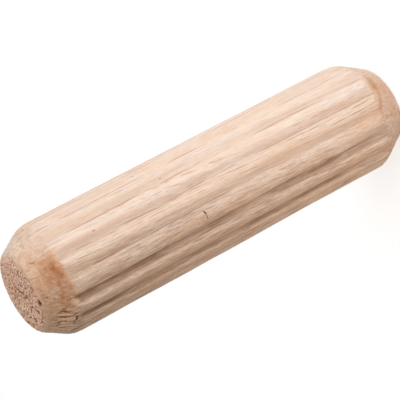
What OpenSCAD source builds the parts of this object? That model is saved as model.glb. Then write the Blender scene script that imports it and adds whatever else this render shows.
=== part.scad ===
// Fluted dowel pin: one length of beech with pressed glue flutes and chamfered ends.
// It stands on its bottom end. The origin is the centre of that end face, and +Z runs
// along the pin. All lengths are in millimetres.

/* [Shank] */
// Diameter across the lands between the flutes, the drill size that the pin is made for
pin_d = 8; // [6:1:16]
// Length from end face to end face
pin_len = 30; // [20:1:80]

/* [Flutes] */
// Number of glue flutes around the shank
flute_count = 18; // [8:1:22]
// Width of a flute at its mouth
flute_w = 0.66; // [0.4:0.02:0.8]
// Depth of a flute below the lands
flute_depth = 0.22; // [0.1:0.02:0.4]

/* [Top end] */
// Length of the top chamfer along the pin
top_chamfer_len = 2.1; // [1:0.1:4]
// How far the top chamfer cuts in from the side
top_chamfer_depth = 1.25; // [0.6:0.05:1.8]
// Radius of the soft edge between the top chamfer and the shank
top_shoulder_r = 1.4; // [0.4:0.1:2.8]
// Radius of the rim between the top chamfer and the end face
top_rim_r = 0.4; // [0.1:0.05:0.8]

/* [Bottom end] */
// Length of the bottom chamfer along the pin
bottom_chamfer_len = 2.2; // [1:0.1:4]
// How far the bottom chamfer cuts in from the side
bottom_chamfer_depth = 1.3; // [0.6:0.05:1.8]
// Radius of the soft edge between the bottom chamfer and the shank
bottom_shoulder_r = 2; // [0.4:0.1:2.8]
// Radius of the rim between the bottom chamfer and the end face
bottom_rim_r = 0.6; // [0.1:0.05:0.8]

/* [Hidden] */
pin_r = pin_d / 2;
flute_pitch_angle = 360 / flute_count;
// Distance from the pin's axis to the straight line across a flute's mouth
flute_mouth_r = sqrt(pow(pin_r, 2) - pow(flute_w / 2, 2));
// A flute's floor is the arc through both lips of its mouth and its deepest point
flute_sag = flute_mouth_r - (pin_r - flute_depth);
flute_r = (pow(flute_w / 2, 2) + pow(flute_sag, 2)) / (2 * flute_sag);
flute_axis_r = pin_r - flute_depth + flute_r;
// How far a flute's cutter runs past each end face
cut_past = 1;
$fn = 96;
// Number of short straight steps that draw each softened corner of the section
arc_steps = 8;

// Corners of half of the pin's lengthwise section, as [distance from the axis, height]
bottom_centre = [0, 0];
bottom_rim = [pin_r - bottom_chamfer_depth, 0];
bottom_shoulder = [pin_r, bottom_chamfer_len];
top_shoulder = [pin_r, pin_len - top_chamfer_len];
top_rim = [pin_r - top_chamfer_depth, pin_len];
top_centre = [0, pin_len];

// The point one unit away in the direction of an angle
function heading(angle) = [cos(angle), sin(angle)];

// The angle that the outside of a straight edge faces, going anticlockwise round the section
function facing(from, to) = atan2(from[0] - to[0], to[1] - from[1]);

// The arc of radius r that takes the place of a corner, touching the edges before and after it
function softened(before, corner, after, r) =
    let (
        start = facing(before, corner),
        turn = facing(corner, after) - start,
        centre = corner - r / cos(turn / 2) * heading(start + turn / 2)
    )
    [for (step = [0:arc_steps]) centre + r * heading(start + turn * step / arc_steps)];

// The turned blank: a round bar with both ends chamfered and softened
module blank() {
    rotate_extrude()
        polygon([
            bottom_centre,
            each softened(bottom_centre, bottom_rim, bottom_shoulder, bottom_rim_r),
            each softened(bottom_rim, bottom_shoulder, top_shoulder, bottom_shoulder_r),
            each softened(bottom_shoulder, top_shoulder, top_rim, top_shoulder_r),
            each softened(top_shoulder, top_rim, top_centre, top_rim_r),
            top_centre
        ]);
}

// The cutter for one flute, a round bar that grazes the shank and runs out over both chamfers
module flute_cutter() {
    translate([flute_axis_r, 0, -cut_past])
        cylinder(r = flute_r, h = pin_len + 2 * cut_past);
}

// The whole pin
module dowel_pin() {
    color("#E0C3A3")
        difference() {
            blank();
            for (i = [0:flute_count - 1])
                rotate([0, 0, i * flute_pitch_angle])
                    flute_cutter();
        }
}

dowel_pin();
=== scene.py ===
# %% [markdown]
# # A fluted dowel pin in beech
# A dowel pin joins two boards. It is a short round stick of beech with narrow flutes pressed
# into it, so that glue can spread and air can leave the hole, and with a chamfer on each end,
# so that it finds the hole. This lesson builds one pin in Blender around a fixed CAD frame:
# first the frame, then the camera and the light, then the turned and fluted body, the wood
# itself, and last the marks that the cutter left.

# %% Load the fixed frame
import math

import bpy
import numpy as np
from mathutils import Matrix, Vector


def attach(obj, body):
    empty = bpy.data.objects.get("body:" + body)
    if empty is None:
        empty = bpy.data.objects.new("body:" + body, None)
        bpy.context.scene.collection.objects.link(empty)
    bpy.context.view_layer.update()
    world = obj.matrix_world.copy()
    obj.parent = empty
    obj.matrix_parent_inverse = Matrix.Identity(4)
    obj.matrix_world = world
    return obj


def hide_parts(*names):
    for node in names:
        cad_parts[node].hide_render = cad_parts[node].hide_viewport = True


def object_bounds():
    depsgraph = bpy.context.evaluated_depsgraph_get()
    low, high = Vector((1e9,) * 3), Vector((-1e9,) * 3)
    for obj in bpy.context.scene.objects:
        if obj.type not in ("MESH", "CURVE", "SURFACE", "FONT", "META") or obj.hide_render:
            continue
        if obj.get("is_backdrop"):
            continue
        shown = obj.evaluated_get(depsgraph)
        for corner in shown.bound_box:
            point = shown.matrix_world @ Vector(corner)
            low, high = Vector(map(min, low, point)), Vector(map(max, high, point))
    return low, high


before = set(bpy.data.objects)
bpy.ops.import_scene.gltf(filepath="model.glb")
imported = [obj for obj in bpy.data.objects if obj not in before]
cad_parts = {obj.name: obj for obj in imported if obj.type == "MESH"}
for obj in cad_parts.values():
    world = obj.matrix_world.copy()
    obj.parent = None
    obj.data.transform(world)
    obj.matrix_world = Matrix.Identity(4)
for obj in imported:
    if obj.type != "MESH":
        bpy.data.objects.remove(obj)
cad_low, cad_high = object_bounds()
MM = 0.001
pin_length = (cad_high.z - cad_low.z) / MM
pin_radius = round((cad_high.y - cad_low.y) / MM) / 2
centre = (cad_low + cad_high) / 2
print(f"pin {pin_length:.1f} mm long, radius {pin_radius:.1f} mm, nodes {list(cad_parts)}")

# %% [markdown]
# ## Three small helpers
# Node trees and colours need two helpers: one turns an sRGB hex colour into the linear
# numbers that Blender mixes with, and one adds any node with its settings and its links.
# The second looks only at sockets that are in use, so a Mix node's colour sockets are
# found by the same names as its plain ones. The third gives the way that an azimuth points,
# because many things on a round pin happen on one side of it.

# %% Helpers for colours, nodes and directions
def linear(hex_colour):
    """Turns an sRGB hex colour such as '#E6CBAE' into linear red, green, blue and alpha."""
    parts = [int(hex_colour[i : i + 2], 16) / 255 for i in (1, 3, 5)]
    return [p / 12.92 if p <= 0.04045 else ((p + 0.055) / 1.055) ** 2.4 for p in parts] + [1.0]


def add(tree, kind, sockets=None, **settings):
    """Adds one node. Settings are its own properties; sockets take a value, a socket or a node."""
    made = tree.nodes.new(kind)
    for name, value in settings.items():
        setattr(made, name, value)
    usable = [s for s in made.inputs if s.enabled]
    for key, value in (sockets or {}).items():
        socket = usable[key] if isinstance(key, int) else next(s for s in usable if s.name == key)
        if isinstance(value, bpy.types.Node):
            value = next(s for s in value.outputs if s.enabled)
        if isinstance(value, bpy.types.NodeSocket):
            tree.links.new(value, socket)
        else:
            socket.default_value = value
    return made


def direction(degrees, length=1.0):
    """The level vector that points to an azimuth in degrees, of a given length."""
    return (math.cos(math.radians(degrees)) * length, math.sin(math.radians(degrees)) * length, 0.0)


print("beech is about", [round(part, 2) for part in linear("#ECD6C5")[:3]], "in linear colour")

# %% [markdown]
# ## Camera
# The pin is seen from a little above its top end, close enough that the near end looks
# larger than the far one. A long lens from a short distance gives that gentle perspective.
# The camera is rolled, so that the pin lies along the picture's diagonal while it still
# stands on its end on the floor.

# %% Place the camera
CAMERA_AZIMUTH, CAMERA_ELEVATION, CAMERA_ROLL = map(math.radians, (-91.0, 24.0, -118.06))
LENS, SENSOR_WIDTH = 179.5, 36
# in mm: how far the camera stands from the pin's centre, and is moved to its right and up
DISTANCE, MOVED_RIGHT, MOVED_UP = 134.8, -0.5, -0.33
camera_data = bpy.data.cameras.new("camera")
camera_data.lens, camera_data.sensor_width = LENS, SENSOR_WIDTH
camera_data.clip_start, camera_data.clip_end = 0.01, 10
camera = bpy.data.objects.new("camera", camera_data)
bpy.context.scene.collection.objects.link(camera)
bpy.context.scene.camera = camera
back = Vector(
    (
        math.cos(CAMERA_ELEVATION) * math.cos(CAMERA_AZIMUTH),
        math.cos(CAMERA_ELEVATION) * math.sin(CAMERA_AZIMUTH),
        math.sin(CAMERA_ELEVATION),
    )
)
turn = back.to_track_quat("Z", "Y").to_matrix() @ Matrix.Rotation(CAMERA_ROLL, 3, "Z")
place = centre + (DISTANCE * back + MOVED_RIGHT * turn.col[0] + MOVED_UP * turn.col[1]) * MM
camera.matrix_world = Matrix.Translation(place) @ turn.to_4x4()
print("camera at", [round(v / MM, 1) for v in place], "mm")

# %% [markdown]
# ## Floor and light
# A small object is lit well by one large soft lamp on one side and a dim, even light from
# everywhere else. The floor could be lit until it is white, but that would light the pin
# too. So near the pin it is plain matt paper with a weak glow that only the camera sees,
# which keeps the shadow, and farther out the camera sees white, as it does in the world.

# %% Make the floor
FLOOR_HALF = 0.6  # m
# the floor keeps its shadow up to the first distance and is plain white from the second, in m
SHADOW_KEPT, SHADOW_GONE = 0.03, 0.12


def new_material(name):
    """Makes an empty material and returns it with its tree and its output node."""
    material = bpy.data.materials.new(name)
    material.use_nodes = True
    material.node_tree.nodes.clear()
    return material, material.node_tree, add(material.node_tree, "ShaderNodeOutputMaterial")


# uncoated white paper: fully matt, so it mirrors nothing and looks the same from every side
paper, tree, output = new_material("white paper")
to_camera = add(tree, "ShaderNodeLightPath").outputs["Is Camera Ray"]
floor_at = add(tree, "ShaderNodeTexCoord").outputs["Object"]
from_pin = add(tree, "ShaderNodeVectorMath", {0: floor_at}, operation="LENGTH")
far_away = add(
    tree,
    "ShaderNodeMapRange",
    {"Value": from_pin.outputs["Value"], "From Min": SHADOW_KEPT, "From Max": SHADOW_GONE},
    interpolation_type="SMOOTHSTEP",
)
lit = add(tree, "ShaderNodeBsdfDiffuse", {"Color": linear("#EFF1F5")})
lift = add(tree, "ShaderNodeMath", {0: to_camera, 1: 0.6}, operation="MULTIPLY")
glow = add(tree, "ShaderNodeEmission", {"Strength": lift})
near_floor = add(tree, "ShaderNodeAddShader", {0: lit, 1: glow})
white = add(tree, "ShaderNodeEmission", {"Strength": 1.0})
open_floor = add(tree, "ShaderNodeMixShader", {0: to_camera, 1: lit, 2: white})
whole_floor = add(tree, "ShaderNodeMixShader", {0: far_away, 1: near_floor, 2: open_floor})
tree.links.new(whole_floor.outputs[0], output.inputs[0])
corners = [(x * FLOOR_HALF, y * FLOOR_HALF, 0) for x, y in ((-1, -1), (1, -1), (1, 1), (-1, 1))]
floor_mesh = bpy.data.meshes.new("floor")
floor_mesh.from_pydata(corners, [], [(0, 1, 2, 3)])
floor = bpy.data.objects.new("floor", floor_mesh)
floor.data.materials.append(paper)
bpy.context.scene.collection.objects.link(floor)
floor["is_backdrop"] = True
print(f"floor {2 * FLOOR_HALF:.1f} m wide")

# %% Light the pin
# azimuth in degrees, then distance, height, width and tallness in mm, power in W, colour
LAMPS = {
    "window": (-50, 140, 42, 170, 100, 0.1105, "#F3F9FF"),
    "sky panel": (-26, 42, 4, 70, 8, 0.0108, "#D6EBFF"),
    "bounce card": (-140, 28, 3.5, 36, 6, 0.0022, "#FFE4C6"),
    "overhead": (-50, 58, 140, 100, 100, 0.066, "#FFFBF7"),
    "back window": (95, 150, 70, 160, 100, 0.05, "#FFFFFF"),
}
# every lamp is aimed at this share of the pin's length
AIMED_AT = 0.4
for name, (lamp_azimuth, distance, height, width, tall, power, tint) in LAMPS.items():
    data = bpy.data.lights.new(name, "AREA")
    data.shape, data.size, data.size_y = "RECTANGLE", width * MM, tall * MM
    data.energy, data.color = power, linear(tint)[:3]
    lamp = bpy.data.objects.new(name, data)
    x, y, _ = direction(lamp_azimuth, distance)
    stand = Vector((x, y, height)) * MM
    away = stand - Vector((0, 0, pin_length * AIMED_AT * MM))
    lamp.matrix_world = Matrix.Translation(stand) @ away.to_track_quat("Z", "Y").to_matrix().to_4x4()
    bpy.context.scene.collection.objects.link(lamp)
print(len(LAMPS), "soft lamps, the brightest of", max(row[5] for row in LAMPS.values()), "W")

# %% Fill in from all sides
EVEN_LIGHT = 0.215
world = bpy.data.worlds.new("studio")
bpy.context.scene.world = world
world.use_nodes = True
world.node_tree.nodes.clear()
ray = add(world.node_tree, "ShaderNodeLightPath").outputs
plain = add(
    world.node_tree,
    "ShaderNodeMath",
    {0: ray["Is Camera Ray"], 1: ray["Is Glossy Ray"]},
    operation="MAXIMUM",
)
air_tint = add(
    world.node_tree,
    "ShaderNodeMix",
    {"Factor": plain, "A": linear("#FFF0E0"), "B": linear("#FFFFFF")},
    data_type="RGBA",
)
air_level = add(world.node_tree, "ShaderNodeMapRange", {"Value": plain, "To Min": EVEN_LIGHT, "To Max": 1.0})
air = add(world.node_tree, "ShaderNodeBackground", {"Color": air_tint, "Strength": air_level})
add(world.node_tree, "ShaderNodeOutputWorld", {"Surface": air})
bpy.context.scene.view_settings.view_transform = "Standard"
print("even light from all sides:", EVEN_LIGHT)

# %% [markdown]
# ## The turned and fluted body
# The real pin is cut from a long rod that has been drawn through a fluting die, and both
# ends are then milled to a chamfer. In Blender the same order works well: six corner
# points draw half of the pin's outline, and Geometry Nodes round its corners, sweep it
# round the axis and press the flutes into it. Nodes suit a shape that follows a rule like
# this one, because every size stays a named input.

# %% Draw the outline
# each chamfer: how far it reaches in from the side, and how far along the pin
BOTTOM_IN, BOTTOM_ALONG = 1.3, 2.2
TOP_IN, TOP_ALONG = 1.25, 2.1
# (radius, height, rounding) of each corner, from the centre of the bottom end to the top's
OUTLINE = [
    (0.0, 0.0, 0.0),
    (pin_radius - BOTTOM_IN, 0.0, 0.6),
    (pin_radius, BOTTOM_ALONG, 2.0),
    (pin_radius, pin_length - TOP_ALONG, 2.2),
    (pin_radius - TOP_IN, pin_length, 0.8),
    (0.0, pin_length, 0.0),
]
outline_mesh = bpy.data.meshes.new("pin outline")
outline_mesh.from_pydata(
    [(r * MM, 0, h * MM) for r, h, _ in OUTLINE], [(i, i + 1) for i in range(len(OUTLINE) - 1)], []
)
rounding = outline_mesh.attributes.new("rounding", "FLOAT", "POINT")
rounding.data.foreach_set("value", [soft * MM for _, _, soft in OUTLINE])
fluted_pin = bpy.data.objects.new("fluted_pin", outline_mesh)
bpy.context.scene.collection.objects.link(fluted_pin)
print("outline of", len(OUTLINE), "corners")

# %% Start the tree with its named sizes
SIZES = {
    "Flutes": 18,
    "Die turn": 0.028,
    "Around": 368,
    "Rings": 261,
    "Groove half width": 0.48,
    "Groove depth": 0.2,
    "Land crown": 0.12,
    "Soft wave": 0.11,
    "Wander": 0.07,
    "Unevenness": 0.035,
    "Fibre relief": 0.02,
    "Pore depth": 0.24,
    "Cutter marks": 0.05,
    "Seed": 1188,
}
body = bpy.data.node_groups.new("turned and fluted pin", "GeometryNodeTree")
body.is_modifier = True
body.interface.new_socket("Geometry", in_out="INPUT", socket_type="NodeSocketGeometry")
sockets = {}
for name, value in SIZES.items():
    kind = "NodeSocketInt" if isinstance(value, int) else "NodeSocketFloat"
    sockets[name] = body.interface.new_socket(name, in_out="INPUT", socket_type=kind)
sockets["Wood"] = body.interface.new_socket("Wood", in_out="INPUT", socket_type="NodeSocketMaterial")
body.interface.new_socket("Geometry", in_out="OUTPUT", socket_type="NodeSocketGeometry")
given = add(body, "NodeGroupInput").outputs
print("body tree takes", ", ".join(sockets))

# %% Sweep the outline round the axis
ARC_POINTS = 10
# Each part of the sheet's rows: where it starts and stops, and its share of the outline. The
# ends take more rings than the shank, because their pores and tears are the finest forms.
ROW_PARTS = ((-0.5, -0.27, 0.15), (-0.27, 0.12, 0.7), (0.12, 0.5, 0.15))
outline = add(body, "GeometryNodeMeshToCurve", {"Mesh": given["Geometry"]})
corner_radius = add(body, "GeometryNodeInputNamedAttribute", {"Name": "rounding"})
softened = add(
    body,
    "GeometryNodeFilletCurve",
    {"Curve": outline, "Count": ARC_POINTS, "Radius": corner_radius},
    mode="POLY",
)
columns = add(body, "ShaderNodeMath", {0: given["Around"], 1: 1.0})
sheet = add(
    body,
    "GeometryNodeMeshGrid",
    {"Size X": 1.0, "Size Y": 1.0, "Vertices X": columns, "Vertices Y": given["Rings"]},
)
on_sheet = add(body, "ShaderNodeSeparateXYZ", {0: add(body, "GeometryNodeInputPosition")})
azimuth = add(
    body, "ShaderNodeMath", {0: on_sheet.outputs["X"], 1: math.tau, 2: math.pi}, operation="MULTIPLY_ADD"
)
row_parts = [
    add(
        body,
        "ShaderNodeMapRange",
        {"Value": on_sheet.outputs["Y"], "From Min": low, "From Max": high, "To Min": 0.0, "To Max": share},
    )
    for low, high, share in ROW_PARTS
]
along = add(body, "ShaderNodeMath", {0: row_parts[0], 1: row_parts[1]})
along = add(body, "ShaderNodeMath", {0: along, 1: row_parts[2]})
traced = add(
    body,
    "GeometryNodeSampleCurve",
    {"Curves": softened, "Factor": along},
    mode="FACTOR",
    use_all_curves=True,
)
traced_mm = add(
    body, "ShaderNodeVectorMath", {0: traced.outputs["Position"], "Scale": 1 / MM}, operation="SCALE"
)
traced_at = add(body, "ShaderNodeSeparateXYZ", {0: traced_mm})
tangent = add(body, "ShaderNodeSeparateXYZ", {0: traced.outputs["Tangent"]})
cosine = add(body, "ShaderNodeMath", {0: azimuth}, operation="COSINE")
sine = add(body, "ShaderNodeMath", {0: azimuth}, operation="SINE")
round_x = add(body, "ShaderNodeMath", {0: traced_at.outputs["X"], 1: cosine}, operation="MULTIPLY")
round_y = add(body, "ShaderNodeMath", {0: traced_at.outputs["X"], 1: sine}, operation="MULTIPLY")
smooth_place = add(body, "ShaderNodeCombineXYZ", {"X": round_x, "Y": round_y, "Z": traced_at.outputs["Z"]})
print(f"sheet of {SIZES['Around']} by {SIZES['Rings'] - 1} quads, {len(ROW_PARTS)} row densities")

# %% [markdown]
# ### Which part of the skin is which
# The ends, the chamfers and the shank are cut in different ways, so each needs its own
# roughness and colour. Painting masks would tie them to one mesh. The outline's tangent
# tells the same thing: the skin faces along the pin on the ends, straight out on the shank,
# and between the two on the chamfers.

# %% Tell the ends, the chamfers and the shank apart
facing_end = add(body, "ShaderNodeMath", {0: tangent.outputs["X"], 1: -1.0}, operation="MULTIPLY")
outward = add(
    body,
    "ShaderNodeCombineXYZ",
    {
        "X": add(body, "ShaderNodeMath", {0: tangent.outputs["Z"], 1: cosine}, operation="MULTIPLY"),
        "Y": add(body, "ShaderNodeMath", {0: tangent.outputs["Z"], 1: sine}, operation="MULTIPLY"),
        "Z": facing_end,
    },
)
steep = add(body, "ShaderNodeMath", {0: facing_end}, operation="ABSOLUTE")
# the saw's edge is ragged, so a little noise moves the line between end and chamfer
ragged_edge = add(body, "ShaderNodeTexNoise", {"Vector": smooth_place, "Scale": 1.1, "Detail": 2.0})
ragged_edge = add(body, "ShaderNodeMath", {0: ragged_edge, 1: 0.3, 2: steep}, operation="MULTIPLY_ADD")
on_end = add(
    body,
    "ShaderNodeMapRange",
    {"Value": ragged_edge, "From Min": 1.0, "From Max": 1.14},
    interpolation_type="SMOOTHSTEP",
)
not_on_shank = add(
    body,
    "ShaderNodeMapRange",
    {"Value": steep, "From Min": 0.12, "From Max": 0.48},
    interpolation_type="SMOOTHSTEP",
)
on_chamfer = add(
    body, "ShaderNodeMath", {0: not_on_shank, 1: on_end}, operation="SUBTRACT", use_clamp=True
)
print("body tree has", len(body.nodes), "nodes so far")

# %% [markdown]
# ### Flutes
# Each flute is a narrow groove between two rounded lands. The die's tooth leans, so one lip
# of the groove is steep and the other runs out gently, which a short curve draws. The die
# isn't perfect: the grooves wander by about a tenth of a millimetre, some bite deeper than
# others, one tooth stands out of its place, two are worn, and on one side of the rod the
# flutes fade into low waves. Cutting eighteen grooves one by one would hide that rule, so
# the azimuth gives each point its nearest flute, and noise gives each flute its own depth.
# The chamfer is cut last, so it simply takes away the part of a flute that lies outside it.

# %% Find the nearest flute
# where the die and the rod were at fault, as azimuths in degrees
MISPLACED_TOOTH, SHALLOW_SIDE, SOFT_SIDE = -141.0, -90.0, -70.0
# each worn tooth: its azimuth, where the wear starts and is full, and how much bite is left
WORN_TEETH = ((-12.0, 0.93, 0.985, 0.3), (-96.0, 0.96, 0.995, 0.5))
seeded = add(
    body,
    "ShaderNodeVectorMath",
    {0: smooth_place, 1: add(body, "ShaderNodeCombineXYZ", {"X": given["Seed"]})},
    operation="ADD",
)
slow = add(body, "ShaderNodeVectorMath", {0: seeded, 1: (0.22, 0.22, 0.13)}, operation="MULTIPLY")
wander = add(body, "ShaderNodeTexNoise", {"Vector": slow, "Scale": 1.0, "Detail": 1.0})
wander = add(body, "ShaderNodeMath", {0: wander, 1: 0.5}, operation="SUBTRACT")
wander = add(body, "ShaderNodeMath", {0: wander, 1: given["Wander"]}, operation="MULTIPLY")
turned = add(body, "ShaderNodeMath", {0: azimuth, 1: wander})
turned = add(body, "ShaderNodeMath", {0: turned, 1: given["Die turn"]})
round_it = add(body, "ShaderNodeCombineXYZ", {"X": cosine, "Y": sine})


def toward(degrees, first, full, low, high):
    """A number that changes smoothly from low to high as the azimuth nears this one.

    First and full are cosines of the angle at which the change starts and is complete.
    """
    near = add(body, "ShaderNodeVectorMath", {0: round_it, 1: direction(degrees)}, operation="DOT_PRODUCT")
    return add(
        body,
        "ShaderNodeMapRange",
        {"Value": near.outputs["Value"], "From Min": first, "From Max": full, "To Min": low, "To Max": high},
        interpolation_type="SMOOTHSTEP",
    )


# one tooth of the die stands out of its place, by this many radians
TOOTH_SHIFT = 0.048
turned = add(
    body, "ShaderNodeMath", {0: turned, 1: toward(MISPLACED_TOOTH, 0.93, 1.0, 0.0, TOOTH_SHIFT)}
)
per_turn = add(body, "ShaderNodeMath", {0: given["Flutes"], 1: math.tau}, operation="DIVIDE")
phase = add(body, "ShaderNodeMath", {0: turned, 1: per_turn}, operation="MULTIPLY")
nearest = add(body, "ShaderNodeMath", {0: phase}, operation="ROUND")
flute_number = add(body, "ShaderNodeMath", {0: nearest, 1: given["Flutes"]}, operation="FLOORED_MODULO")
flute_luck = add(
    body,
    "ShaderNodeTexWhiteNoise",
    {"W": add(body, "ShaderNodeMath", {0: flute_number, 1: given["Seed"]})},
    noise_dimensions="1D",
)
print(f"{SIZES['Flutes']} flutes, {360 / SIZES['Flutes']:.0f} degrees apart")

# %% Decide how deep each flute bites
bite = add(body, "ShaderNodeMath", {0: flute_luck, 1: 2.0}, operation="POWER")
bite = add(body, "ShaderNodeMapRange", {"Value": bite, "From Min": 0.15, "To Min": 0.12, "To Max": 1.25})
rough_bite = add(body, "ShaderNodeVectorMath", {0: seeded, 1: (0.5, 0.5, 0.2)}, operation="MULTIPLY")
rough_bite = add(body, "ShaderNodeTexNoise", {"Vector": rough_bite, "Scale": 1.0, "Detail": 1.0})
rough_bite = add(
    body,
    "ShaderNodeMapRange",
    {"Value": rough_bite, "From Min": 0.3, "From Max": 0.7, "To Min": 0.7, "To Max": 1.2},
)
bite = add(body, "ShaderNodeMath", {0: bite, 1: rough_bite}, operation="MULTIPLY")
# the rod was pressed a little less where the bottom end was cut from it, and least on one side
least = toward(SHALLOW_SIDE, 0.84, 0.97, 0.78, 0.1)
pressure = add(
    body,
    "ShaderNodeMapRange",
    {"Value": traced_at.outputs["Z"], "From Max": pin_length, "To Min": least, "To Max": 1.15},
)
bite = add(body, "ShaderNodeMath", {0: bite, 1: pressure}, operation="MULTIPLY")
# and two teeth are worn
for degrees, worn_from, worn_fully, left in WORN_TEETH:
    wear = toward(degrees, worn_from, worn_fully, 1.0, left)
    bite = add(body, "ShaderNodeMath", {0: bite, 1: wear}, operation="MULTIPLY")
print(len(WORN_TEETH), "worn teeth, at", [row[0] for row in WORN_TEETH], "degrees")


# %% Shape the groove and the land beside it
def draw_hump(curve_node, points):
    """Draws a Float Curve that rises from nothing, passes the points and falls back to nothing."""
    curve = curve_node.mapping.curves[0]
    curve.points[0].location = (0.0, 0.0)
    curve.points[1].location = (1.0, 0.0)
    for x, y in points:
        curve.points.new(x, y)
    curve_node.mapping.update()


# the steep lip lies this share of a pitch from the flute's centre
LIP_OFFSET = 0.2
# the low waves lag behind the flutes by this many radians of a flute's own turn
WAVE_LAG = 0.88
# how softly a flute's edge meets the chamfer, in mm
EDGE_SOFTNESS = 0.05
off = add(body, "ShaderNodeMath", {0: phase, 1: nearest}, operation="SUBTRACT")
pitch = add(body, "ShaderNodeMath", {0: math.tau * pin_radius, 1: given["Flutes"]}, operation="DIVIDE")
off_mm = add(body, "ShaderNodeMath", {0: off, 1: pitch}, operation="MULTIPLY")
other_side = add(body, "ShaderNodeMath", {0: given["Groove half width"], 1: -1.0}, operation="MULTIPLY")
across_flute = add(
    body,
    "ShaderNodeMapRange",
    {"Value": off_mm, "From Min": given["Groove half width"], "From Max": other_side},
)
tooth = add(body, "ShaderNodeFloatCurve", {"Value": across_flute})
draw_hump(tooth, ((0.14, 0.02), (0.26, 0.8), (0.42, 1.0), (0.66, 0.75), (0.88, 0.22)))
groove = add(body, "ShaderNodeMath", {0: tooth, 1: given["Groove depth"]}, operation="MULTIPLY")
# the land between two flutes is rounded, and is lowest at the steep lip
from_lip = add(body, "ShaderNodeMath", {0: off, 1: LIP_OFFSET}, operation="SUBTRACT")
from_lip = add(body, "ShaderNodeMath", {0: from_lip, 1: 0.5, 2: -0.5}, operation="WRAP")
from_lip = add(body, "ShaderNodeMath", {0: from_lip}, operation="ABSOLUTE")
crown = add(body, "ShaderNodeMath", {0: from_lip, 1: -2.0, 2: 1.0}, operation="MULTIPLY_ADD")
crown = add(body, "ShaderNodeMath", {0: crown, 1: 2.0}, operation="POWER")
crown = add(body, "ShaderNodeMath", {0: crown, 1: given["Land crown"]}, operation="MULTIPLY")
# one side of the rod was too thin for the die: there the flutes are soft waves
swing = add(body, "ShaderNodeMath", {0: phase, 1: math.tau}, operation="MULTIPLY")
wave = add(body, "ShaderNodeMath", {0: swing, 1: WAVE_LAG}, operation="SUBTRACT")
wave = add(body, "ShaderNodeMath", {0: wave}, operation="COSINE")
wave = add(body, "ShaderNodeMath", {0: wave, 1: 0.5, 2: 0.5}, operation="MULTIPLY_ADD")
wave = add(body, "ShaderNodeMath", {0: wave, 1: given["Soft wave"]}, operation="MULTIPLY")
softness = toward(SOFT_SIDE, 0.75, 0.97, 0.0, 1.0)
crown = add(body, "ShaderNodeMix", {"Factor": softness, "A": crown, "B": wave})
groove = add(body, "ShaderNodeMath", {0: groove, 1: bite}, operation="MULTIPLY")
pressed = add(body, "ShaderNodeMath", {0: groove, 1: crown})
fluted_radius = add(body, "ShaderNodeMath", {0: pin_radius, 1: pressed}, operation="SUBTRACT")
cut_radius = add(
    body,
    "ShaderNodeMath",
    {0: traced_at.outputs["X"], 1: fluted_radius, 2: EDGE_SOFTNESS},
    operation="SMOOTH_MIN",
)
cut_place = add(
    body,
    "ShaderNodeCombineXYZ",
    {
        "X": add(body, "ShaderNodeMath", {0: cut_radius, 1: cosine}, operation="MULTIPLY"),
        "Y": add(body, "ShaderNodeMath", {0: cut_radius, 1: sine}, operation="MULTIPLY"),
        "Z": traced_at.outputs["Z"],
    },
)
print("the die's teeth are", SIZES["Groove depth"], "mm deep")

# %% [markdown]
# ### Roughness of the cut wood
# Bare wood is never smooth: a pressed rod is slightly uneven, its fibres stand up a little,
# the saw leaves open pores on the ends, and the chamfering cutter leaves streaks. All four
# could be bump in the material, but here they catch the light as real forms, so noise pushes
# the skin in along the way it faces. One loop makes them from four rows of numbers.

# %% Roughen the wood
# pores crowd together in patches
pore_patch = add(body, "ShaderNodeTexNoise", {"Vector": seeded, "Scale": 0.8, "Detail": 2.0})
pore_patch = add(
    body,
    "ShaderNodeMapRange",
    {"Value": pore_patch, "From Min": 0.4, "From Max": 0.6, "To Min": 0.3, "To Max": 1.2},
)
# and are torn widest where the saw left the end
saw_exit = add(body, "ShaderNodeVectorMath", {0: smooth_place, 1: (-1.0, 0.1, 0.0)}, operation="DOT_PRODUCT")
saw_exit = add(
    body,
    "ShaderNodeMapRange",
    {"Value": saw_exit.outputs["Value"], "From Min": -1.2, "From Max": 1.7, "To Min": 0.3, "To Max": 1.45},
)
pore_patch = add(body, "ShaderNodeMath", {0: pore_patch, 1: saw_exit}, operation="MULTIPLY")
pore_patch = add(body, "ShaderNodeMath", {0: pore_patch, 1: on_end}, operation="MULTIPLY")
# the cutter drags across the chamfer, so its marks are the same streaks, twisted round the axis
twist = add(body, "ShaderNodeMath", {0: traced_at.outputs["Z"], 1: 0.5}, operation="MULTIPLY")
dragged = add(body, "ShaderNodeVectorRotate", {"Vector": seeded, "Angle": twist}, rotation_type="Z_AXIS")
# each row: where the noise is read, its marks per mm, its detail, the part of it that shows,
# how deep it goes and where it is let in; the pores are drawn coarser than real, to show
depths = []
for read_at, stretch, detail, low, high, amount, mask in (
    (seeded, (0.28, 0.28, 0.16), 1.0, 0.3, 0.7, given["Unevenness"], None),
    (seeded, (7.0, 7.0, 0.5), 2.0, 0.3, 0.7, given["Fibre relief"], None),
    (seeded, (2.4, 5.0, 1.5), 3.0, 0.492, 0.585, given["Pore depth"], pore_patch),
    (dragged, (3.0, 3.0, 0.6), 2.0, 0.3, 0.75, given["Cutter marks"], on_chamfer),
):
    spot = add(body, "ShaderNodeVectorMath", {0: read_at, 1: stretch}, operation="MULTIPLY")
    relief = add(body, "ShaderNodeTexNoise", {"Vector": spot, "Scale": 1.0, "Detail": detail})
    relief = add(body, "ShaderNodeMapRange", {"Value": relief, "From Min": low, "From Max": high})
    relief = add(body, "ShaderNodeMath", {0: relief, 1: amount}, operation="MULTIPLY")
    if mask is not None:
        relief = add(body, "ShaderNodeMath", {0: relief, 1: mask}, operation="MULTIPLY")
    depths.append(relief)
depth = depths[0]
for more in depths[1:]:
    depth = add(body, "ShaderNodeMath", {0: depth, 1: more})
inward = add(body, "ShaderNodeVectorMath", {0: outward, "Scale": depth}, operation="SCALE")
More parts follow.
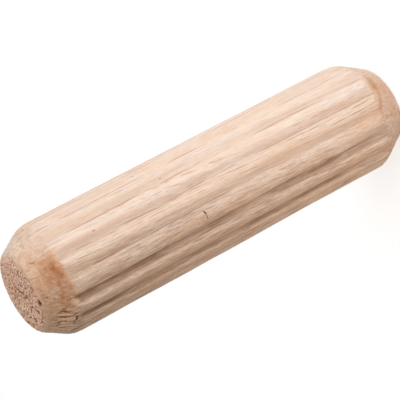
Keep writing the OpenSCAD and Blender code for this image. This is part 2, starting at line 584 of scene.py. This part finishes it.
rough_place = add(body, "ShaderNodeVectorMath", {0: cut_place, 1: inward}, operation="SUBTRACT")
final_place = add(body, "ShaderNodeVectorMath", {0: rough_place, "Scale": MM}, operation="SCALE")
print(len(depths), "kinds of roughness")

# %% Keep what the wood's material needs, then close the skin
# where fibres are frayed, they lift and break in thin slivers that run straight down the skin
down_skin = add(body, "ShaderNodeCombineXYZ", {"X": cosine, "Y": sine, "Z": traced_at.outputs["Z"]})
down_skin = add(body, "ShaderNodeVectorMath", {0: down_skin, 1: (19.0, 19.0, 1.3)}, operation="MULTIPLY")
splinters = add(body, "ShaderNodeTexNoise", {"Vector": down_skin, "Scale": 1.0, "Detail": 1.0})
splinters = add(body, "ShaderNodeMapRange", {"Value": splinters, "From Min": 0.5, "From Max": 0.64})
flute_swing = add(
    body,
    "ShaderNodeCombineXYZ",
    {
        "X": add(body, "ShaderNodeMath", {0: swing}, operation="COSINE"),
        "Y": add(body, "ShaderNodeMath", {0: swing}, operation="SINE"),
        "Z": bite,
    },
)
skin = sheet
for name, value, kind in (
    ("flute_swing", flute_swing, "FLOAT_VECTOR"),
    ("end_grain", on_end, "FLOAT"),
    ("chamfer", on_chamfer, "FLOAT"),
    ("pores", depths[2], "FLOAT"),
    ("splinters", splinters, "FLOAT"),
    ("smooth_place", smooth_place, "FLOAT_VECTOR"),
    ("outward", outward, "FLOAT_VECTOR"),
):
    skin = add(
        body,
        "GeometryNodeStoreNamedAttribute",
        {"Geometry": skin, "Name": name, "Value": value},
        data_type=kind,
    )
skin = add(body, "GeometryNodeSetPosition", {"Geometry": skin, "Position": final_place})
# the sheet's seam and its two poles close when points this near to each other are one, in m
SAME_POINT = 4e-7
skin = add(body, "GeometryNodeMergeByDistance", {"Geometry": skin, "Distance": SAME_POINT})
skin = add(body, "GeometryNodeSetShadeSmooth", {"Geometry": skin})
skin = add(body, "GeometryNodeRealizeInstances", {"Geometry": skin})
skin = add(body, "GeometryNodeSetMaterial", {"Geometry": skin, "Material": given["Wood"]})
add(body, "NodeGroupOutput", {"Geometry": skin})
print("body tree has", len(body.nodes), "nodes")

# %% [markdown]
# ## Beech
# Beech is pale and even, with a pinkish tone. Its rays show as short fine brown dashes along
# the grain, its growth rings as faint broader bands, and its cut ends as a mass of pores.
# A picture of beech would repeat and would stretch over the ends, so the wood is a solid
# pattern in object coordinates, which runs through the pin as grain does. It is built up in
# layers, each with a mask that says how much of it shows. On one side the die dragged the
# fibres up, and there the wood is rougher and darker.

# %% Lay out the wood's coordinates
# bare beech that a die has pressed: no varnish, so it is matt and hardly shines, with a
# faint silky sheen where the light grazes the crushed fibres
beech, tree, output = new_material("beech, pressed and unfinished")
# the grain leans by this much from the pin's axis, about x, y and z
GRAIN_LEAN = (math.radians(0.6), math.radians(-2.2), 0.0)
object_at = add(tree, "ShaderNodeTexCoord").outputs["Object"]
grain_mm = add(
    tree,
    "ShaderNodeMapping",
    {"Vector": object_at, "Rotation": GRAIN_LEAN, "Scale": (1 / MM, 1 / MM, 1 / MM)},
)


def stretched(across, length):
    """Coordinates for a pattern whose marks are so many mm wide and so many mm long."""
    return add(
        tree,
        "ShaderNodeVectorMath",
        {0: grain_mm, 1: (1 / across, 1 / across, 1 / length)},
        operation="MULTIPLY",
    )


print("grain leans", [round(math.degrees(angle), 1) for angle in GRAIN_LEAN], "degrees")

# %% [markdown]
# ### Tone
# From far off beech is one pale colour, and from near it is not: broad pinkish white and
# straw bands run along it, with peach patches and fine streaks. Long stretched noise gives
# all of these, each at its own width.

# %% Tone of the wood
bands = add(
    tree,
    "ShaderNodeTexNoise",
    {"Vector": stretched(1.2, 12.0), "W": 6.0, "Scale": 1.0, "Detail": 2.0},
    noise_dimensions="4D",
)
bands = add(tree, "ShaderNodeMapRange", {"Value": bands, "From Min": 0.36, "From Max": 0.62})
# the palest tone lies under the layers; each layer is how much of it shows, and its colour
palest = linear("#ECD6C5")
layers = [(bands, linear("#EACEB5"))]
streaks = add(tree, "ShaderNodeTexNoise", {"Vector": stretched(0.17, 4.0), "Scale": 1.0, "Detail": 2.0})
streaks = add(
    tree, "ShaderNodeMapRange", {"Value": streaks, "From Min": 0.32, "From Max": 0.7, "To Max": 0.45}
)
layers.append((streaks, linear("#DDB79D")))
peach = add(
    tree,
    "ShaderNodeTexNoise",
    {"Vector": stretched(0.8, 4.0), "W": 20.0, "Scale": 1.0, "Detail": 2.0},
    noise_dimensions="4D",
)
peach = add(tree, "ShaderNodeMapRange", {"Value": peach, "From Min": 0.5, "From Max": 0.7, "To Max": 0.33})
layers.append((peach, linear("#E4B48F")))

# %% [markdown]
# ### Fibres and dark lines
# Fibres show as a weak mottle, lighter and darker. A real fibre is about 0.02 mm wide, too
# fine to show here, so each mark is a tenth of a millimetre wide and stands for a bundle.
# Where the die dragged them up, shadow lies between them in fine dark lines.

# %% Fibres
fibres = add(tree, "ShaderNodeTexNoise", {"Vector": stretched(0.09, 0.6), "Scale": 1.0, "Detail": 2.0})
fibres = add(tree, "ShaderNodeMapRange", {"Value": fibres, "From Min": 0.3, "From Max": 0.7})
fibre_tone = add(
    tree,
    "ShaderNodeMix",
    {"Factor": fibres, "A": linear("#B48869"), "B": linear("#F8E6D5")},
    data_type="RGBA",
)
chamfer = add(tree, "ShaderNodeAttribute", attribute_name="chamfer").outputs["Fac"]
fibre_share = add(tree, "ShaderNodeMapRange", {"Value": chamfer, "To Min": 0.155, "To Max": 0.17})
# the fibres stand up most on the side that the die's rear edge dragged over
ROUGH_SIDE = -140.0
dragged_to = direction(ROUGH_SIDE, 1 / pin_radius)
rough_side = add(tree, "ShaderNodeVectorMath", {0: grain_mm, 1: dragged_to}, operation="DOT_PRODUCT")
rough_side = add(
    tree, "ShaderNodeMapRange", {"Value": rough_side.outputs["Value"], "From Min": 0.75, "From Max": 0.95}
)
fibre_share = add(tree, "ShaderNodeMath", {0: rough_side, 1: 0.2, 2: fibre_share}, operation="MULTIPLY_ADD")
layers.append((fibre_share, fibre_tone))

# %% Dark lines on the rough side
lines = add(tree, "ShaderNodeTexNoise", {"Vector": stretched(0.14, 2.2), "Scale": 1.0, "Detail": 2.0})
lines = add(tree, "ShaderNodeMapRange", {"Value": lines, "From Min": 0.52, "From Max": 0.64, "To Max": 0.4})
lines = add(tree, "ShaderNodeMath", {0: lines, 1: rough_side}, operation="MULTIPLY")
layers.append((lines, linear("#83593F")))

# %% [markdown]
# ### Growth rings
# Each year's wood grows darker towards autumn and then starts pale again, so a ring is a
# gentle amber band that ends in a fine line. The distance across the rings is bent a little
# by noise, and its fraction gives one curve per year.

# %% Growth rings
bent = add(tree, "ShaderNodeTexNoise", {"Vector": stretched(3.0, 30.0), "Scale": 1.0, "Detail": 2.0})
ring_at = add(tree, "ShaderNodeVectorMath", {0: grain_mm, 1: (0.35, -0.45, 0.0)}, operation="DOT_PRODUCT")
ring_at = add(
    tree, "ShaderNodeMath", {0: bent, 1: 2.4, 2: ring_at.outputs["Value"]}, operation="MULTIPLY_ADD"
)
ring = add(tree, "ShaderNodeMath", {0: ring_at}, operation="FRACT")
ring = add(tree, "ShaderNodeFloatCurve", {"Value": ring})
draw_hump(ring, ((0.55, 0.12), (0.9, 0.6), (0.96, 1.0)))
ring = add(tree, "ShaderNodeMath", {0: ring, 1: 0.16}, operation="MULTIPLY")
layers.append((ring, linear("#CF9F74")))

# %% [markdown]
# ### Ray flecks
# Rays are thin sheets of cells that run from the heart of the tree outwards. Cut along, each
# shows as a row of thin brown dashes, and the rows gather in crowds. Plain noise gives round
# spots, so the flecks are made as what they are: wavy planes, cut into lens shapes.

# %% Ray flecks
# how far apart the sheets are and how long the dashes are, in mm, then the widest and darkest
RAY_SHEETS = ((0.42, 1.5, 0.12, 1.0), (0.23, 0.8, 0.16, 0.7))
crowd = add(tree, "ShaderNodeTexNoise", {"Vector": stretched(1.1, 6.0), "Scale": 1.0, "Detail": 1.0})
crowd = add(tree, "ShaderNodeMapRange", {"Value": crowd, "From Min": 0.36, "From Max": 0.56, "To Min": 0.3})
# the rays are cut across on two opposite faces of the rod, and show most there
cut_across = add(
    tree, "ShaderNodeVectorMath", {0: grain_mm, 1: (0.0, 1 / pin_radius, 0.0)}, operation="DOT_PRODUCT"
)
cut_across = add(tree, "ShaderNodeMath", {0: cut_across.outputs["Value"]}, operation="ABSOLUTE")
cut_across = add(
    tree, "ShaderNodeMapRange", {"Value": cut_across, "From Min": 0.5, "From Max": 0.93, "To Min": 0.35}
)
crowd = add(tree, "ShaderNodeMath", {0: crowd, 1: cut_across}, operation="MULTIPLY")
# each sheet of rays is a wavy plane; it shows as a row of lens-shaped dashes
grain_at = add(tree, "ShaderNodeSeparateXYZ", {0: grain_mm})
waves = add(tree, "ShaderNodeTexNoise", {"Vector": stretched(1.4, 14.0), "Scale": 1.0, "Detail": 1.0})
fleck = 0.0
for number, (spacing, length, widest, darkest) in enumerate(RAY_SHEETS):
    sheet_at = add(
        tree, "ShaderNodeMath", {0: waves, 1: 0.9, 2: grain_at.outputs["X"]}, operation="MULTIPLY_ADD"
    )
    sheet_at = add(tree, "ShaderNodeMath", {0: sheet_at, 1: spacing}, operation="DIVIDE")
    row = add(tree, "ShaderNodeMath", {0: sheet_at}, operation="ROUND")
    aside = add(tree, "ShaderNodeMath", {0: sheet_at, 1: row}, operation="SUBTRACT")
    aside = add(tree, "ShaderNodeMath", {0: aside}, operation="ABSOLUTE")
    along_row = add(
        tree,
        "ShaderNodeCombineXYZ",
        {
            "X": add(tree, "ShaderNodeMath", {0: grain_at.outputs["Z"], 1: length}, operation="DIVIDE"),
            "Y": add(tree, "ShaderNodeMath", {0: row, 1: 7.3}, operation="MULTIPLY"),
            "Z": 11.0 * number,
        },
    )
    dash = add(tree, "ShaderNodeTexNoise", {"Vector": along_row, "Scale": 1.0, "Detail": 1.0})
    dash = add(
        tree, "ShaderNodeMapRange", {"Value": dash, "From Min": 0.47, "From Max": 0.62, "To Max": widest}
    )
    dash = add(tree, "ShaderNodeMath", {0: dash, 1: cut_across}, operation="MULTIPLY")
    core = add(tree, "ShaderNodeMath", {0: dash, 1: 0.4}, operation="MULTIPLY")
    lens = add(
        tree, "ShaderNodeMapRange", {"Value": aside, "From Min": dash, "From Max": core, "To Max": darkest}
    )
    fleck = add(tree, "ShaderNodeMath", {0: lens, 1: fleck}, operation="MAXIMUM")
shank_only = add(tree, "ShaderNodeAttribute", attribute_name="end_grain").outputs["Fac"]
shank_only = add(tree, "ShaderNodeMath", {0: 1.0, 1: shank_only}, operation="SUBTRACT")
fleck = add(tree, "ShaderNodeMath", {0: fleck, 1: crowd}, operation="MULTIPLY")
fleck = add(tree, "ShaderNodeMath", {0: fleck, 1: shank_only}, operation="MULTIPLY")
fleck = add(tree, "ShaderNodeMath", {0: fleck, 1: 0.55}, operation="MULTIPLY")
layers.append((fleck, linear("#A36A47")))

# %% [markdown]
# ### Crushed wood and painted shade in the flutes
# A die tooth crushes the wood and glazes a broken amber line under the steep lip. The floor
# of the deepest grooves is painted browner, partly for the crushed wood and partly as painted
# shade where the groove hides from the light. The side of each land that turns from the
# light is painted shade too, most on the waved side. The tree stored where each point lies in
# its own flute, as a sine and a cosine, so a colour can follow one lip of all the flutes.

# %% Crushed wood and painted shade in the flutes
swing = add(tree, "ShaderNodeAttribute", attribute_name="flute_swing").outputs["Vector"]
bitten = add(tree, "ShaderNodeSeparateXYZ", {0: swing}).outputs["Z"]
broken = add(tree, "ShaderNodeTexNoise", {"Vector": stretched(0.5, 2.5), "Scale": 1.0, "Detail": 2.0})
side_only = add(tree, "ShaderNodeMath", {0: shank_only, 1: chamfer}, operation="SUBTRACT", use_clamp=True)
worst = add(tree, "ShaderNodeMath", {0: bitten, 1: 2.2}, operation="POWER")
WAVED_SIDE = -75.0
waved_to = direction(WAVED_SIDE, 1 / pin_radius)
waved = add(tree, "ShaderNodeVectorMath", {0: grain_mm, 1: waved_to}, operation="DOT_PRODUCT")
waved = add(tree, "ShaderNodeMapRange", {"Value": waved.outputs["Value"], "From Min": 0.8, "From Max": 0.97})
# each crease or painted shade: its place in the flute, where it starts and is full, how broken it is, where,
# colour
for degrees, low, high, least, most, where, shade in (
    # the floor of the deepest grooves: crushed wood and painted shade
    (8.0, 0.2, 0.75, 0.45, 0.75, worst, "#8A6047"),
    (71.0, 0.96, 1.0, 0.0, 1.0, 1.0, "#A5683F"),
    # painted shade on the side of each land that turns from the light
    (170.0, -0.2, 0.75, 0.15, 0.5, 1.0, "#D6AC8E"),
    # more painted shade on that side of the lands, where the flutes are low waves
    (130.0, -0.1, 0.95, 0.25, 0.6, waved, "#CDAA93"),
):
    crease_and_shade = add(tree, "ShaderNodeVectorMath", {0: swing, 1: direction(degrees)}, operation="DOT_PRODUCT")
    crease_and_shade = add(
        tree,
        "ShaderNodeMapRange",
        {"Value": crease_and_shade.outputs["Value"], "From Min": low, "From Max": high},
        interpolation_type="SMOOTHSTEP",
    )
    patches = add(
        tree,
        "ShaderNodeMapRange",
        {"Value": broken, "From Min": 0.42, "From Max": 0.62, "To Min": least, "To Max": most},
    )
    crease_and_shade = add(tree, "ShaderNodeMath", {0: crease_and_shade, 1: patches}, operation="MULTIPLY", use_clamp=True)
    crease_and_shade = add(tree, "ShaderNodeMath", {0: crease_and_shade, 1: side_only}, operation="MULTIPLY")
    crease_and_shade = add(tree, "ShaderNodeMath", {0: crease_and_shade, 1: where}, operation="MULTIPLY", use_clamp=True)
    crease_and_shade = add(tree, "ShaderNodeMath", {0: crease_and_shade, 1: 0.7}, operation="MULTIPLY")
    layers.append((crease_and_shade, linear(shade)))

# %% [markdown]
# ### Chamfers and end grain
# The chamfering cutter toasts both chamfers a little and leaves small nicks. The sawn ends
# show open vessels, so they look darker and pinker than the shank, with a toasted rim where
# the saw and the cutter meet; the dark in the pits is partly painted shade. The masks that
# the tree stored keep each finish to its place.

# %% Chamfers, toasted and nicked
toasted = add(tree, "ShaderNodeTexNoise", {"Vector": grain_mm, "Scale": 0.9, "Detail": 2.0})
toasted = add(
    tree, "ShaderNodeMapRange", {"Value": toasted, "From Min": 0.35, "From Max": 0.65, "To Max": 0.16}
)
toasted = add(tree, "ShaderNodeMath", {0: toasted, 1: chamfer}, operation="MULTIPLY")
layers.append((toasted, linear("#CE9264")))

nicks = add(tree, "ShaderNodeTexNoise", {"Vector": stretched(0.28, 0.5), "Scale": 1.0, "Detail": 3.0})
nicks = add(tree, "ShaderNodeMapRange", {"Value": nicks, "From Min": 0.54, "From Max": 0.68, "To Max": 0.48})
nicks = add(tree, "ShaderNodeMath", {0: nicks, 1: chamfer}, operation="MULTIPLY")
layers.append((nicks, linear("#B5845F")))

# %% End grain
end_grain = add(tree, "ShaderNodeAttribute", attribute_name="end_grain").outputs["Fac"]
pores = add(tree, "ShaderNodeAttribute", attribute_name="pores").outputs["Fac"]
pinker = add(tree, "ShaderNodeMath", {0: end_grain, 1: 0.88}, operation="MULTIPLY")
layers.append((pinker, linear("#FFDFC9")))
dusky = add(tree, "ShaderNodeTexNoise", {"Vector": stretched(0.9, 9.0), "Scale": 1.0, "Detail": 3.0})
dusky = add(tree, "ShaderNodeMapRange", {"Value": dusky, "From Min": 0.42, "From Max": 0.62, "To Max": 0.3})
dusky = add(tree, "ShaderNodeMath", {0: dusky, 1: end_grain}, operation="MULTIPLY")
layers.append((dusky, linear("#C08560")))
rim = add(tree, "ShaderNodeMath", {0: shank_only, 1: end_grain}, operation="MULTIPLY")
rim = add(tree, "ShaderNodeMath", {0: rim, 1: 1.6}, operation="MULTIPLY")
layers.append((rim, linear("#D19A6A")))
# the pits are painted dark: partly the open vessels' own colour, partly painted shade inside them
pores = add(tree, "ShaderNodeMapRange", {"Value": pores, "From Min": 0.03, "From Max": 0.15, "To Max": 0.95})
layers.append((pores, linear("#673A1B")))
# a real vessel is about 0.08 mm wide; these are drawn about twice as wide, so that they show
vessels = add(tree, "ShaderNodeTexNoise", {"Vector": stretched(0.15, 2.0), "Scale": 1.0, "Detail": 1.0})
vessels = add(
    tree, "ShaderNodeMapRange", {"Value": vessels, "From Min": 0.49, "From Max": 0.6, "To Max": 0.86}
)
vessels = add(tree, "ShaderNodeMath", {0: vessels, 1: end_grain}, operation="MULTIPLY")
layers.append((vessels, linear("#A25829")))

# %% [markdown]
# ### Burns and tears
# Where the cutter rubbed, the wood is scorched orange to brown in patches. Where it tore
# fibres out, fresh bright wood is bared, with dark slivers between, because fibres bridge
# each tear. The slivers are darker where the tear is deeper, so their dark is partly painted
# shade. Both are tinted here, and a later step paints their masks on the finished mesh.

# %% Burns
burnt_mask = add(tree, "ShaderNodeAttribute", attribute_name="burnt").outputs["Fac"]
patchy = add(
    tree,
    "ShaderNodeTexNoise",
    {"Vector": stretched(0.35, 0.7), "Scale": 1.0, "Detail": 3.0, "Roughness": 0.6},
)
patchy = add(
    tree,
    "ShaderNodeMapRange",
    {"Value": patchy, "From Min": 0.3, "From Max": 0.65, "To Min": 0.82, "To Max": 1.12},
)
burn = add(tree, "ShaderNodeMath", {0: burnt_mask, 1: patchy}, operation="MULTIPLY", use_clamp=True)
scorch = add(
    tree, "ShaderNodeMix", {"Factor": burn, "A": linear("#EDB68A"), "B": linear("#B06E40")}, data_type="RGBA"
)
layers.append((burn, scorch))

# %% Tears
bared_mask = add(tree, "ShaderNodeAttribute", attribute_name="bared").outputs["Fac"]
bared_mask = add(tree, "ShaderNodeMath", {0: bared_mask, 1: 0.55}, operation="MULTIPLY")
layers.append((bared_mask, linear("#FAD2AC")))
# how dark each tear is: partly its own colour, partly painted shade in its hollow
torn_shade_mask = add(tree, "ShaderNodeAttribute", attribute_name="torn").outputs["Fac"]
slivers_and_shade = add(tree, "ShaderNodeTexNoise", {"Vector": stretched(0.11, 0.9), "Scale": 1.0, "Detail": 1.0})
slivers_and_shade = add(tree, "ShaderNodeMath", {0: slivers_and_shade, 1: 0.3, 2: torn_shade_mask}, operation="MULTIPLY_ADD")
slivers_and_shade = add(
    tree, "ShaderNodeMapRange", {"Value": slivers_and_shade, "From Min": 0.3, "From Max": 0.75, "To Max": 0.9}
)
layers.append((slivers_and_shade, linear("#8A4A22")))

print("wood tree has", len(tree.nodes), "nodes before its marks")

# %% [markdown]
# ## From tree to plain mesh
# The marks that follow have to move single points, so the tree is run once and its mesh
# kept. The modifier's inputs are set by each socket's identifier before that.

# %% Run the tree once and keep its mesh
pressing = fluted_pin.modifiers.new("pressing", "NODES")
pressing.node_group = body
for name, value in {**SIZES, "Wood": beech}.items():
    pressing[sockets[name].identifier] = value
evaluated = fluted_pin.evaluated_get(bpy.context.evaluated_depsgraph_get())
pin_mesh = bpy.data.meshes.new_from_object(evaluated)
fluted_pin.modifiers.remove(pressing)
fluted_pin.data = pin_mesh
pin_mesh.name = "fluted pin"
print("pin mesh:", len(pin_mesh.vertices), "vertices,", len(pin_mesh.polygons), "faces")

# %% [markdown]
# ## Marks of the cutter
# The chamfering cutter tears some fibres out, chips an edge and burns the wood brown where
# it rubs. None of this follows a rule, so each mark is a row of its own, a stroke between two
# places on the skin: every vertex near a tear is pushed in, and a burn only tints it.

# %% Strokes on the skin
count = len(pin_mesh.vertices)
skin_mm, skin_out, shape = (np.empty(count * 3, np.float32) for _ in range(3))
pin_mesh.attributes["smooth_place"].data.foreach_get("vector", skin_mm)
pin_mesh.attributes["outward"].data.foreach_get("vector", skin_out)
pin_mesh.vertices.foreach_get("co", shape)
skin_mm, skin_out, shape = (a.reshape(-1, 3) for a in (skin_mm, skin_out, shape))
splinters = np.empty(count, np.float32)
pin_mesh.attributes["splinters"].data.foreach_get("value", splinters)
outline_heights = [h for _, h, _ in OUTLINE[1:-1]]
outline_radii = [r for r, _, _ in OUTLINE[1:-1]]


def on_skin(azimuth, height):
    """The place on the pin's side or chamfer at an azimuth in degrees and a height in mm."""
    r, a = np.interp(height, outline_heights, outline_radii), math.radians(azimuth)
    return np.array((r * math.cos(a), r * math.sin(a), height))


def stroke(start, end, half_width):
    """1 along the stroke, falling smoothly to 0 at its half width, for every vertex."""
    start, end = on_skin(*start), on_skin(*end)
    along = np.clip((skin_mm - start) @ (end - start) / max((end - start) @ (end - start), 1e-9), 0, 1)
    away = np.linalg.norm(skin_mm - start - along[:, None] * (end - start), axis=1)
    return np.clip(1 - (away / half_width) ** 2, 0, 1) ** 1.5


print("strokes can touch", count, "points")

# %% Tear, chip and burn
# each tear: azimuth and height of both ends, half width, depth, darkness (partly painted
# shade in the hollow); a negative depth stands up; azimuths are in degrees and lengths in mm
TEARS = [
    ((-135, 29.25), (-137, 28.1), 0.06, 0.07, 0.5),
    ((-138.5, 29.2), (-142, 28.85), 0.06, 0.08, 0.5),
    ((-142.5, 28.85), (-141.5, 28.5), 0.08, 0.1, 0.7),
    ((-141.5, 28.5), (-137, 28.0), 0.085, 0.11, 0.65),
    ((-149, 29.2), (-147.5, 28.8), 0.085, 0.11, 0.75),
    ((-150.5, 28.35), (-147.5, 28.2), 0.075, 0.1, 0.7),
    ((-147.5, 28.2), (-144, 28.05), 0.11, 0.14, 0.9),
    ((-155.5, 28.95), (-153, 28.35), 0.06, 0.08, 0.5),
    ((-152, 28.3), (-148.5, 27.9), 0.08, 0.08, 0.55),
    ((-159, 29.3), (-157, 29.2), 0.07, 0.08, 0.6),
    ((-172, 28.35), (-162, 28.05), 0.09, 0.1, 0.7),
    ((-163.0, 28.8), (-163.4, 28.35), 0.055, 0.07, 0.5),
    ((-139.5, 27.75), (-140.2, 27.3), 0.05, 0.05, 0.4),
    ((-144.5, 29.55), (-146.5, 29.25), 0.065, 0.08, 0.55),
    ((-152.0, 29.4), (-154.5, 29.0), 0.065, 0.08, 0.55),
    ((-141.0, 29.5), (-140.0, 29.2), 0.055, 0.06, 0.45),
    ((-63.0, 29.4), (-66.0, 29.2), 0.085, 0.09, 0.45),
    ((-120.0, 28.0), (-121.6, 27.75), 0.17, 0.12, 0.35),
    ((-122.4, 27.66), (-123.6, 27.5), 0.15, -0.13, 0.0),
    ((-80.5, 27.9), (-81.5, 27.8), 0.09, 0.08, 0.5),
    ((-109.5, 29.5), (-111.5, 29.5), 0.08, 0.09, 0.3),
    ((-110, 28.95), (-112.5, 28.75), 0.08, 0.05, 0.3),
    ((-116, 28.3), (-119, 28.25), 0.06, 0.06, 0.4),
    ((-118, 28.05), (-120.5, 28.4), 0.05, 0.05, 0.4),
    ((-109, 2.0), (-109, 1.1), 0.07, 0.07, 0.2),
]
# where the fibres are frayed: the same, and how deep their slivers reach
FRAYED = [
    ((-132, 28.9), (-140, 28.5), 0.7, 0.055),
    ((-139, 28.8), (-157, 28.9), 1.1, 0.065),
    ((-156, 28.7), (-168, 28.8), 0.9, 0.065),
    ((-117, 28.1), (-125, 27.9), 0.35, 0.04),
]
# each burn on the chamfers, which stops where the cutter did: both ends, half width, strength
BURNS = [
    ((-50, 29.4), (-80, 29.4), 0.65, 0.38),
    ((-82, 29.3), (-128, 29.35), 1.0, 0.5),
    ((-128, 29.5), (-178, 29.5), 0.8, 0.3),
    ((-70, 28.9), (-125, 28.9), 1.3, 0.25),
    ((-74, 28.9), (-99, 29.0), 1.0, 0.7),
    ((-73, 28.35), (-108, 28.25), 0.7, 0.7),
    ((-82, 28.1), (-112, 28.05), 0.42, 0.72),
    ((-79, 28.8), (-88, 28.8), 0.85, 0.84),
    ((-80, 28.5), (-90, 28.4), 0.9, 0.9),
    ((-87, 28.3), (-93, 28.2), 0.4, 0.88),
    ((-95, 28.5), (-101, 28.6), 0.45, 0.85),
    ((-103, 28.45), (-131, 28.6), 0.85, 0.66),
    ((-109, 28.5), (-116, 28.7), 0.35, 0.8),
    ((-118, 28.9), (-128, 28.6), 0.35, 0.75),
    ((-84, 29.5), (-107, 29.65), 0.45, 0.62),
    ((-61, 1.4), (-71, 1.55), 0.8, 0.74),
    ((-73, 1.5), (-86, 1.7), 0.42, 0.6),
    ((-86, 1.7), (-96, 2.2), 0.36, 0.65),
    ((-96, 2.2), (-103, 2.3), 0.33, 0.5),
    ((-60, 0.9), (-100, 1.0), 0.8, 0.3),
]
# each stain on the shank: the same
STAINS = [
    ((-99, 4.2), (-103, 3.9), 0.45, 0.3),
    ((-100, 3.6), (-101, 2.6), 0.4, 0.22),
    ((-139, 2.7), (-142, 2.6), 0.4, 0.4),
]
# how much painted shade a sliver gets for each mm of its depth
SLIVER_SHADE_PER_MM = 10
torn, bared, burnt = np.zeros(count), np.zeros(count), np.zeros(count)
for start, end, half_width, deep, dark in TEARS:
    mark = stroke(start, end, half_width)
    shape -= (mark * deep * MM)[:, None] * skin_out
    torn = np.maximum(torn, mark * dark)
for start, end, half_width, deep in FRAYED:
    mark = stroke(start, end, half_width)
    bared = np.maximum(bared, mark)
    shape -= (mark * splinters * deep * MM)[:, None] * skin_out
    torn = np.maximum(torn, mark * splinters * SLIVER_SHADE_PER_MM * deep)
where_cut = np.clip((np.abs(skin_out[:, 2]) - 0.1) / 0.1, 0, 1)
for marks, limit in ((BURNS, where_cut), (STAINS, 1.0)):
    for start, end, half_width, strength in marks:
        burnt = np.maximum(burnt, stroke(start, end, half_width) * strength * limit)
pin_mesh.vertices.foreach_set("co", shape.ravel())
for name, values in (("torn", torn), ("bared", bared), ("burnt", burnt)):
    pin_mesh.attributes.new(name, "FLOAT", "POINT").data.foreach_set("value", values.astype(np.float32))
for name in ("smooth_place", "outward", "splinters"):
    pin_mesh.attributes.remove(pin_mesh.attributes[name])
pin_mesh.update()
print(f"{len(TEARS)} tears move {int((torn > 0.05).sum())} vertices, burns tint {int((burnt > 0.05).sum())}")

# %% [markdown]
# ### Specks
# A dark tick with a hairline crack and a few specks lie on the shank. They are finer than
# the mesh, so they are drawn in the material: each is the distance to a short line between
# two places on the finished skin, with a ragged edge.

# %% Specks and a short crack on the shank
def skin_point(azimuth, height):
    """The place on the finished skin at an azimuth in degrees and a height in mm."""
    nearest = np.linalg.norm(skin_mm - on_skin(azimuth, height), axis=1).argmin()
    r, a = np.hypot(*shape[nearest, :2]) / MM, math.radians(azimuth)
    return Vector((r * math.cos(a), r * math.sin(a), height))


# azimuth and height of both ends, half width, strength
SPECKS = [
    ((-103.6, 17.5), (-105.6, 17.46), 0.065, 1.0),
    ((-105.6, 17.46), (-111.0, 17.44), 0.03, 0.75),
    ((-115.0, 10.5), (-115.4, 10.45), 0.025, 0.5),
    ((-70.0, 24.95), (-70.4, 24.8), 0.03, 0.6),
    ((-31.5, 20.15), (-31.9, 20.05), 0.03, 0.7),
    ((-53.0, 18.9), (-53.4, 18.8), 0.03, 0.6),
]
object_mm = add(tree, "ShaderNodeVectorMath", {0: object_at, "Scale": 1 / MM}, operation="SCALE")
ragged = add(tree, "ShaderNodeTexNoise", {"Vector": object_mm, "Scale": 9.0, "Detail": 1.0})
speck = 0.0
for start, end, half_width, strength in SPECKS:
    start, end = skin_point(*start), skin_point(*end)
    run = end - start
    from_start = add(tree, "ShaderNodeVectorMath", {0: object_mm, 1: start}, operation="SUBTRACT")
    share = add(
        tree, "ShaderNodeVectorMath", {0: from_start, 1: run / run.length_squared}, operation="DOT_PRODUCT"
    )
    share = add(tree, "ShaderNodeClamp", {"Value": share.outputs["Value"]})
    nearest_point = add(tree, "ShaderNodeVectorMath", {0: run, "Scale": share}, operation="SCALE")
    away = add(tree, "ShaderNodeVectorMath", {0: from_start, 1: nearest_point}, operation="DISTANCE")
    away = add(
        tree, "ShaderNodeMath", {0: ragged, 1: 0.06, 2: away.outputs["Value"]}, operation="MULTIPLY_ADD"
    )
    edge, core = half_width + 0.055, 0.3 * half_width + 0.035
    blot = add(
        tree,
        "ShaderNodeMapRange",
        {"Value": away, "From Min": edge, "From Max": core, "To Max": strength},
        interpolation_type="SMOOTHSTEP",
    )
    speck = add(tree, "ShaderNodeMath", {0: blot, 1: speck}, operation="MAXIMUM")
layers.append((speck, linear("#6A4228")))
print(len(SPECKS), "specks with half widths up to", max(row[2] for row in SPECKS), "mm")

# %% [markdown]
# ## Finish the wood
# The layers are laid over one another in the order in which they were made, so that marks
# lie over grain. Fine fuzz and the dark lines also become a bump of a few hundredths of a
# millimetre, because forms that small are finer than the mesh.

# %% Lay the colours over one another
colour = palest
for share, shade in layers:
    colour = add(tree, "ShaderNodeMix", {"Factor": share, "A": colour, "B": shade}, data_type="RGBA")
print(len(layers), "layers of colour")

# %% Join the parts of the wood
BUMP_DISTANCE = 0.04 * MM
fuzz = add(tree, "ShaderNodeTexNoise", {"Vector": stretched(0.08, 0.2), "Scale": 1.0, "Detail": 2.0})
fuzz_height = add(tree, "ShaderNodeMath", {0: rough_side, 1: 4.0, 2: 1.4}, operation="MULTIPLY_ADD")
bump_height = add(tree, "ShaderNodeMath", {0: fuzz, 1: fuzz_height, 2: fibres}, operation="MULTIPLY_ADD")
for sunk in (fleck, lines, slivers_and_shade):
    bump_height = add(tree, "ShaderNodeMath", {0: bump_height, 1: sunk}, operation="SUBTRACT")
bump = add(tree, "ShaderNodeBump", {"Height": bump_height, "Strength": 0.4, "Distance": BUMP_DISTANCE})
surface = add(
    tree,
    "ShaderNodeBsdfPrincipled",
    {
        "Base Color": colour,
        "Roughness": 0.75,
        "Specular IOR Level": 0.3,
        "Sheen Weight": 0.25,
        "Sheen Roughness": 0.3,
        "Normal": bump,
    },
)
tree.links.new(surface.outputs[0], output.inputs["Surface"])
print("wood tree has", len(tree.nodes), "nodes")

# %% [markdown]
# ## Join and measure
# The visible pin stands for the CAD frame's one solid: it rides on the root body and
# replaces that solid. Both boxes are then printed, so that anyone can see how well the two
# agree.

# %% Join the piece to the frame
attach(fluted_pin, "root")
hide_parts("dowel_pin")

# %% Write the sizes and finish
low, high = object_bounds()
print("CAD box   ", [round(v / MM, 3) for v in (*cad_low, *cad_high)])
print("visual box", [round(v / MM, 3) for v in (*low, *high)])
